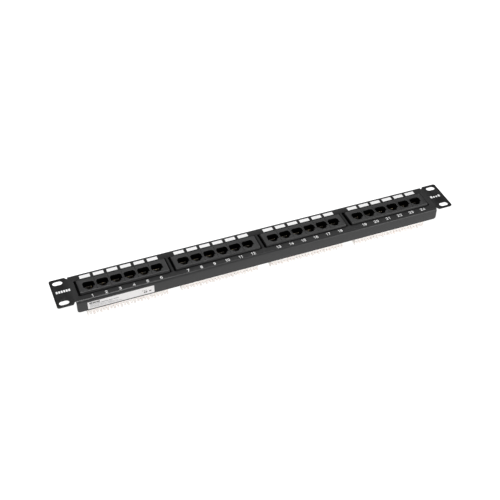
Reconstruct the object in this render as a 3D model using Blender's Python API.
"""Rack patch panel, one height unit, 24 ports in four six-port modules.

Frame: X along the panel, Y towards the panel's upper edge, Z out of its front
face.  The panel lies face up on the ends of its rear termination strips, so
the lowest plane is Z = 0.  Lengths below are millimetres; MM turns them into
metres.
"""
import math

import bpy
import bmesh
from mathutils import Matrix, Vector

MM = 0.001
GAP = 0.3                      # clearance kept between neighbouring pieces

# ---------------------------------------------------------------- rack plate
PANEL_W = 482.6                # 19 inch rack width
EAR_H = 44.0                   # one height unit less clearance
EAR_CORNER_R = 2.5
PLATE_T = 1.5
Z_FRONT = 30.6                 # front plane of the steel
Z_BACK = Z_FRONT - PLATE_T
SLOT_X = 232.55                # rack slot centres, 465.1 mm apart
SLOT_Y = 15.875                # 31.75 mm apart
SLOT_L = 11.2
SLOT_H = 6.8
EAR_IN_X = 224.0               # ear's inner end at full height
NOTCH_X = 222.4                # foot of the chamfer beside the fold
NOTCH_Y = 20.2
NOTCH_FLOOR_Y = 19.0
SPLIT_X = 221.6                # dividing line between ear and middle faces
FLANGE_X = 220.5               # half length of the folded edges
FOLD_Y = 21.5                  # outer face of the folded edges
FOLD_R = 2.0                   # outer bend radius
FLANGE_DEPTH = 15.3            # folded edge, measured from the front plane
FLANGE_CORNER_R = 3.0
FOLD_STEPS = 4

# -------------------------------------------------------------------- modules
MODULES = 4
MODULE_PITCH = 108.5
PORTS = 6
PORT_PITCH = 15.5
CUT_LEFT = 53.0                # cut-out, from the module's centre
CUT_RIGHT = 52.55
CUT_TOP = 12.1
CUT_BOTTOM = -12.2

BEZEL_HALF_W = 50.8
BEZEL_TOP = 9.9
BEZEL_BOTTOM = -11.6
BEZEL_PROUD = 2.4              # how far the face stands out of the steel
Z_BEZEL = Z_FRONT + BEZEL_PROUD
SHOULDER_HALF_W = 54.0
SHOULDER_HALF_H = 13.6
SHOULDER_T = 2.5
RELEASE_SLOT = (-53.0, -50.8)  # release slot in the shoulder on the left
RELEASE_SLOT_HALF_H = 12.4
RELEASE_SLOT_DEPTH = 1.9       # blind, so nothing shows through it

# board and wire termination strips
BOARD_L = 105.0
BOARD_H = 32.0
BOARD_T = 1.6
BOARD_Z0 = 13.0
BOARD_CHAMFER = 1.5
IDC_Z1 = BOARD_Z0 - GAP
IDC_SLOTS = 24
IDC_PITCH = 3.87
IDC_SLOT_W = 1.5
IDC_SLOT_D = 6.1
IDC_INNER_Y = 4.5
IDC_OUTER_Y = 14.5

# socket outline, right half, from the top down: sloped corner over the
# contacts, plug cavity, shoulder step, latch groove
RECESS_HALF, RECESS_TOP = 4.4, 3.8
PLUG_HALF, PLUG_TOP, PLUG_BOTTOM = 6.25, 1.9, -4.2
STEP_HALF, STEP_BOTTOM = 4.2, -6.2
KEY_HALF, KEY_BOTTOM = 2.5, -7.9
SOCKET_DEPTH = 15.0

# contact insert
WIRES = 8
WIRE_PITCH = 1.02
WIRE_W = 0.46
WIRE_T = 0.34
COMB_HALF = 3.95
COMB_Y = (2.55, 3.5)
COMB_Z = (24.5, 26.5)
WIRE_END = (18.6, 1.35)        # z, y of the free ends

# sticker on the lower folded edge
LABEL_X = (-209.0, -134.0)
LABEL_DEPTH = (3.8, 13.8)
LABEL_T = 0.15

# ------------------------------------------------------------------ utilities
for _obj in list(bpy.data.objects):
    bpy.data.objects.remove(_obj, do_unlink=True)

SCENE = bpy.context.scene


def material(name, rgb, rough, metal):
    mat = bpy.data.materials.new(name)
    mat.use_nodes = True
    bsdf = mat.node_tree.nodes["Principled BSDF"]
    bsdf.inputs["Base Color"].default_value = (rgb[0], rgb[1], rgb[2], 1.0)
    bsdf.inputs["Roughness"].default_value = rough
    bsdf.inputs["Metallic"].default_value = metal
    mat.diffuse_color = (rgb[0], rgb[1], rgb[2], 1.0)
    return mat


def add_object(name, bm, mat, parent=None, location=(0.0, 0.0, 0.0)):
    """Mesh in millimetres about its own origin -> object in metres."""
    bmesh.ops.recalc_face_normals(bm, faces=bm.faces)
    bm.transform(Matrix.Scale(MM, 4))
    mesh = bpy.data.meshes.new(name)
    bm.to_mesh(mesh)
    bm.free()
    mesh.materials.append(mat)
    obj = bpy.data.objects.new(name, mesh)
    SCENE.collection.objects.link(obj)
    obj.location = Vector(location) * MM
    if parent is not None:
        obj.parent = parent
    return obj


def add_empty(name, location):
    empty = bpy.data.objects.new(name, None)
    empty.empty_display_size = 0.01
    empty.location = Vector(location) * MM
    SCENE.collection.objects.link(empty)
    return empty


def box_bm(bm, lo, hi):
    """Axis-aligned box added to bm; returns its vertices."""
    x0, y0, z0 = lo
    x1, y1, z1 = hi
    v = [bm.verts.new(p) for p in (
        (x0, y0, z0), (x1, y0, z0), (x1, y1, z0), (x0, y1, z0),
        (x0, y0, z1), (x1, y0, z1), (x1, y1, z1), (x0, y1, z1))]
    for f in ((3, 2, 1, 0), (4, 5, 6, 7), (0, 1, 5, 4),
              (1, 2, 6, 5), (2, 3, 7, 6), (3, 0, 4, 7)):
        bm.faces.new([v[i] for i in f])
    return v


def prism_bm(bm, outline, z0, z1):
    """Closed prism over a counter-clockwise outline in X and Y."""
    lo = [bm.verts.new((x, y, z0)) for x, y in outline]
    hi = [bm.verts.new((x, y, z1)) for x, y in outline]
    bm.faces.new(list(reversed(lo)))
    bm.faces.new(hi)
    n = len(outline)
    for i in range(n):
        j = (i + 1) % n
        bm.faces.new((lo[i], lo[j], hi[j], hi[i]))


def arc(cx, cy, r, a0, a1, steps):
    return [(cx + r * math.cos(math.radians(a0 + (a1 - a0) * i / steps)),
             cy + r * math.sin(math.radians(a0 + (a1 - a0) * i / steps)))
            for i in range(steps + 1)]


def fill_region(bm, loops):
    """Triangulate a flat region bounded by loops of vertices."""
    edges = []
    for loop in loops:
        for i, a in enumerate(loop):
            b = loop[(i + 1) % len(loop)]
            e = bm.edges.get((a, b))
            if e is None:
                e = bm.edges.new((a, b))
            edges.append(e)
    bmesh.ops.triangle_fill(bm, use_beauty=True, use_dissolve=False, edges=edges)


def wall(bm, lo, hi, skip=()):
    """Side faces between two equal loops; skip holds edge indices left open."""
    n = len(lo)
    for i in range(n):
        if i in skip:
            continue
        j = (i + 1) % n
        bm.faces.new((lo[i], lo[j], hi[j], hi[i]))


def apply_cuts(obj, cutters, operation="DIFFERENCE"):
    for cutter in cutters:
        mod = obj.modifiers.new("cut_" + cutter.name, "BOOLEAN")
        mod.operation = operation
        mod.solver = "EXACT"
        mod.object = cutter


def cutter_object(name, bm, parent=None):
    obj = add_object(name, bm, MAT_BLACK, parent)
    obj.hide_render = True
    obj.display_type = "WIRE"
    return obj


MAT_STEEL = material("powder_coated_steel", (0.030, 0.030, 0.032), 0.55, 0.0)
MAT_BLACK = material("black_plastic", (0.035, 0.035, 0.037), 0.5, 0.0)
MAT_IDC = material("white_plastic", (0.86, 0.84, 0.83), 0.45, 0.0)
MAT_BOARD = material("green_board", (0.02, 0.11, 0.05), 0.4, 0.0)
MAT_GOLD = material("gilt_contacts", (0.78, 0.55, 0.22), 0.3, 1.0)
MAT_LABEL = material("white_label", (0.85, 0.85, 0.85), 0.6, 0.0)

MODULE_X = [(i - (MODULES - 1) / 2.0) * MODULE_PITCH for i in range(MODULES)]


# ---------------------------------------------------------------- front panel
def stadium(cx, cy):
    r = SLOT_H / 2.0
    s = SLOT_L / 2.0 - r
    return (arc(cx + s, cy, r, -90, 90, 8) + arc(cx - s, cy, r, 90, 270, 8))


def ear_outline(side):
    """Outline of one ear, starting on the split line, as (x, y)."""
    right = [(SPLIT_X, -NOTCH_FLOOR_Y), (NOTCH_X, -NOTCH_FLOOR_Y),
             (NOTCH_X, -NOTCH_Y), (EAR_IN_X, -EAR_H / 2)]
    right += arc(PANEL_W / 2 - EAR_CORNER_R, -EAR_H / 2 + EAR_CORNER_R,
                 EAR_CORNER_R, -90, 0, 5)
    right += arc(PANEL_W / 2 - EAR_CORNER_R, EAR_H / 2 - EAR_CORNER_R,
                 EAR_CORNER_R, 0, 90, 5)
    right += [(EAR_IN_X, EAR_H / 2), (NOTCH_X, NOTCH_Y),
              (NOTCH_X, NOTCH_FLOOR_Y), (SPLIT_X, NOTCH_FLOOR_Y)]
    if side > 0:
        return right
    return [(-x, -y) for x, y in right]


def build_front_panel():
    bm = bmesh.new()
    tangent_y = FOLD_Y - FOLD_R
    corner_r = 0.6
    ears = {s: ear_outline(s) for s in (1, -1)}
    middle = [(-SPLIT_X, -NOTCH_FLOOR_Y), (-FLANGE_X, -NOTCH_FLOOR_Y),
              (-FLANGE_X, -tangent_y), (FLANGE_X, -tangent_y),
              (FLANGE_X, -NOTCH_FLOOR_Y), (SPLIT_X, -NOTCH_FLOOR_Y),
              (SPLIT_X, NOTCH_FLOOR_Y), (FLANGE_X, NOTCH_FLOOR_Y),
              (FLANGE_X, tangent_y), (-FLANGE_X, tangent_y),
              (-FLANGE_X, NOTCH_FLOOR_Y), (-SPLIT_X, NOTCH_FLOOR_Y)]
    cuts = []
    for c in MODULE_X:
        x0, x1 = c - CUT_LEFT, c + CUT_RIGHT
        y0, y1, r = CUT_BOTTOM, CUT_TOP, corner_r
        cuts.append(arc(x1 - r, y0 + r, r, -90, 0, 2)
                    + arc(x1 - r, y1 - r, r, 0, 90, 2)
                    + arc(x0 + r, y1 - r, r, 90, 180, 2)
                    + arc(x0 + r, y0 + r, r, 180, 270, 2))
    slots = {s: [stadium(s * SLOT_X, SLOT_Y), stadium(s * SLOT_X, -SLOT_Y)]
             for s in (1, -1)}
    levels = {}
    for z in (Z_BACK, Z_FRONT):
        cache = {}

        def vert(p, z=z, cache=cache):
            key = (round(p[0], 5), round(p[1], 5))
            if key not in cache:
                cache[key] = bm.verts.new((p[0], p[1], z))
            return cache[key]

        mid = [vert(p) for p in middle]
        ear = {s: [vert(p) for p in ears[s]] for s in (1, -1)}
        holes = [[vert(p) for p in loop] for loop in cuts]
        rack = {s: [[vert(p) for p in loop] for loop in slots[s]]
                for s in (1, -1)}
        fill_region(bm, [mid] + holes)
        for s in (1, -1):
            fill_region(bm, [ear[s]] + rack[s])
        levels[z] = (mid, ear, holes, rack)
    lo, hi = levels[Z_BACK], levels[Z_FRONT]
    # side walls: the split lines (5 and 11) and the fold lines (2 and 8) stay open
    wall(bm, lo[0], hi[0], skip=(2, 5, 8, 11))
    for s in (1, -1):
        wall(bm, lo[1][s], hi[1][s], skip=(len(lo[1][s]) - 1,))
        for a, b in zip(lo[3][s], hi[3][s]):
            wall(bm, a, b)
    for a, b in zip(lo[2], hi[2]):
        wall(bm, a, b)

    # folded edges: rings of four vertices swept round the bend and back
    zc = Z_FRONT - FOLD_R
    r_in = FOLD_R - PLATE_T
    for s, i, j in ((-1, 2, 3), (1, 8, 9)):
        ring = [hi[0][i], hi[0][j], lo[0][j], lo[0][i]]
        sign_x = 1.0 if hi[0][j].co.x > hi[0][i].co.x else -1.0
        stations = []
        for k in range(1, FOLD_STEPS + 1):
            a = math.radians(90.0 * k / FOLD_STEPS)
            stations.append((FLANGE_X,
                             (tangent_y + FOLD_R * math.sin(a), zc + FOLD_R * math.cos(a)),
                             (tangent_y + r_in * math.sin(a), zc + r_in * math.cos(a))))
        z_end = Z_FRONT - FLANGE_DEPTH
        for k in range(5):
            a = math.radians(90.0 * k / 4)
            x = FLANGE_X - FLANGE_CORNER_R * (1 - math.cos(a))
            z = z_end + FLANGE_CORNER_R * (1 - math.sin(a))
            stations.append((x, (FOLD_Y, z), (FOLD_Y - PLATE_T, z)))
        for x, outer, inner in stations:
            new = [bm.verts.new((-sign_x * x, s * outer[0], outer[1])),
                   bm.verts.new((sign_x * x, s * outer[0], outer[1])),
                   bm.verts.new((sign_x * x, s * inner[0], inner[1])),
                   bm.verts.new((-sign_x * x, s * inner[0], inner[1]))]
            for k in range(4):
                m = (k + 1) % 4
                bm.faces.new((ring[k], ring[m], new[m], new[k]))
            ring = new
        bm.faces.new(ring)
    return add_object("front_panel", bm, MAT_STEEL)


# -------------------------------------------------------------------- modules
def socket_outline():
    right = [(KEY_HALF, KEY_BOTTOM), (KEY_HALF, STEP_BOTTOM),
             (STEP_HALF, STEP_BOTTOM), (STEP_HALF, PLUG_BOTTOM),
             (PLUG_HALF, PLUG_BOTTOM), (PLUG_HALF, PLUG_TOP),
             (RECESS_HALF, RECESS_TOP)]
    return right + [(-x, y) for x, y in reversed(right)]


def port_offsets():
    return [(i - (PORTS - 1) / 2.0) * PORT_PITCH for i in range(PORTS)]


def build_bezel(number, parent):
    """Jack housing: face block, shoulder behind the steel, rear block."""
    z_rear = BOARD_Z0 + BOARD_T + GAP
    z_sh = Z_BACK - GAP
    bm = bmesh.new()
    rings = []
    sections = ((BEZEL_HALF_W, BEZEL_BOTTOM, BEZEL_TOP, z_rear),
                (BEZEL_HALF_W, BEZEL_BOTTOM, BEZEL_TOP, z_sh - SHOULDER_T),
                (SHOULDER_HALF_W, -SHOULDER_HALF_H, SHOULDER_HALF_H, z_sh - SHOULDER_T),
                (SHOULDER_HALF_W, -SHOULDER_HALF_H, SHOULDER_HALF_H, z_sh),
                (BEZEL_HALF_W, BEZEL_BOTTOM, BEZEL_TOP, z_sh),
                (BEZEL_HALF_W, BEZEL_BOTTOM, BEZEL_TOP, Z_BEZEL))
    for w, y0, y1, z in sections:
        rings.append([bm.verts.new(p) for p in
                      ((-w, y0, z), (w, y0, z), (w, y1, z), (-w, y1, z))])
    bm.faces.new(list(reversed(rings[0])))
    for a, b in zip(rings, rings[1:]):
        for i in range(4):
            j = (i + 1) % 4
            bm.faces.new((a[i], a[j], b[j], b[i]))
    bm.faces.new(rings[-1])
    obj = add_object("module_%d_bezel" % number, bm, MAT_BLACK, parent)

    cut = bmesh.new()
    for dx in port_offsets():
        outline = [(x + dx, y) for x, y in socket_outline()]
        prism_bm(cut, outline, Z_BEZEL - SOCKET_DEPTH, Z_BEZEL + 2.0)
    # release slot sunk in the shoulder; it stops short of the face block
    box_bm(cut, (RELEASE_SLOT[0], -RELEASE_SLOT_HALF_H, z_sh - RELEASE_SLOT_DEPTH),
           (RELEASE_SLOT[1] - 0.05, RELEASE_SLOT_HALF_H, z_sh + 1.0))
    apply_cuts(obj, [cutter_object("cut_sockets_%d" % number, cut, parent)])
    return obj


def build_board(number, parent):
    c = BOARD_CHAMFER
    a, b = BOARD_L / 2, BOARD_H / 2
    outline = [(-a + c, -b), (a - c, -b), (a, -b + c), (a, b - c),
               (a - c, b), (-a + c, b), (-a, b - c), (-a, -b + c)]
    bm = bmesh.new()
    prism_bm(bm, outline, BOARD_Z0, BOARD_Z0 + BOARD_T)
    return add_object("module_%d_circuit_board" % number, bm, MAT_BOARD, parent)


def build_idc(number, which, parent):
    """Termination strip: a comb outline in X and Z, extruded along Y."""
    half = IDC_SLOTS * IDC_PITCH / 2.0
    pts = [(half, IDC_Z1), (-half, IDC_Z1), (-half, 0.0)]
    for i in range(IDC_SLOTS):
        x = -half + (i + 0.5) * IDC_PITCH
        pts += [(x - IDC_SLOT_W / 2, 0.0), (x - IDC_SLOT_W / 2, IDC_SLOT_D),
                (x + IDC_SLOT_W / 2, IDC_SLOT_D), (x + IDC_SLOT_W / 2, 0.0)]
    pts.append((half, 0.0))
    y0, y1 = ((IDC_INNER_Y, IDC_OUTER_Y) if which == "upper"
              else (-IDC_OUTER_Y, -IDC_INNER_Y))
    bm = bmesh.new()
    near = [bm.verts.new((x, y0, z)) for x, z in pts]
    far = [bm.verts.new((x, y1, z)) for x, z in pts]
    bm.faces.new(near)
    bm.faces.new(list(reversed(far)))
    wall(bm, near, far)
    return add_object("module_%d_idc_%s" % (number, which), bm, MAT_IDC, parent)


def build_contacts(port, dx, parent):
    """Comb bar with eight sprung wires slanting back into the socket."""
    bm = bmesh.new()
    (y0, y1), (z0, z1) = COMB_Y, COMB_Z
    xs = [-COMB_HALF]
    for i in range(WIRES):
        x = (i - (WIRES - 1) / 2.0) * WIRE_PITCH
        xs += [x - WIRE_W / 2, x + WIRE_W / 2]
    xs.append(COMB_HALF)
    y_root = (y0 + WIRE_T, y0)
    # bar as a strip of stations along X, so wires can grow from its rear face
    st = []
    for x in xs:
        st.append([bm.verts.new((x, y0, z0)), bm.verts.new((x, y0, z1)),
                   bm.verts.new((x, y1, z1)), bm.verts.new((x, y1, z0)),
                   bm.verts.new((x, y0 + WIRE_T, z0))])
    for k in range(len(xs) - 1):
        a, b = st[k], st[k + 1]
        for m in range(3):
            bm.faces.new((a[m], a[m + 1], b[m + 1], b[m]))
        bm.faces.new((a[3], a[4], b[4], b[3]))
        if k % 2 == 0:
            bm.faces.new((a[4], a[0], b[0], b[4]))
        else:
            z_e, y_e = WIRE_END
            ea = [bm.verts.new((a[4].co.x, y_e + WIRE_T / 2, z_e)),
                  bm.verts.new((a[0].co.x, y_e - WIRE_T / 2, z_e))]
            eb = [bm.verts.new((b[4].co.x, y_e + WIRE_T / 2, z_e)),
                  bm.verts.new((b[0].co.x, y_e - WIRE_T / 2, z_e))]
            bm.faces.new((a[4], ea[0], eb[0], b[4]))
            bm.faces.new((a[0], b[0], eb[1], ea[1]))
            bm.faces.new((a[4], a[0], ea[1], ea[0]))
            bm.faces.new((b[4], eb[0], eb[1], b[0]))
            bm.faces.new((ea[0], ea[1], eb[1], eb[0]))
    bm.faces.new(st[0])
    bm.faces.new(st[-1])
    return add_object("port_%02d_contacts" % port, bm, MAT_GOLD, parent,
                      (dx, 0.0, 0.0))


def build_label():
    y_out = -FOLD_Y - GAP
    bm = bmesh.new()
    box_bm(bm, (LABEL_X[0], y_out - LABEL_T, Z_FRONT - LABEL_DEPTH[1]),
           (LABEL_X[1], y_out, Z_FRONT - LABEL_DEPTH[0]))
    return add_object("rating_label", bm, MAT_LABEL)


build_front_panel()
build_label()
port = 0
for index, centre in enumerate(MODULE_X):
    number = index + 1
    axis = add_empty("module_%d_axis" % number, (centre, 0.0, 0.0))
    build_bezel(number, axis)
    build_board(number, axis)
    build_idc(number, "upper", axis)
    build_idc(number, "lower", axis)
    for dx in port_offsets():
        port += 1
        build_contacts(port, dx, axis)
bpy.context.view_layer.update()
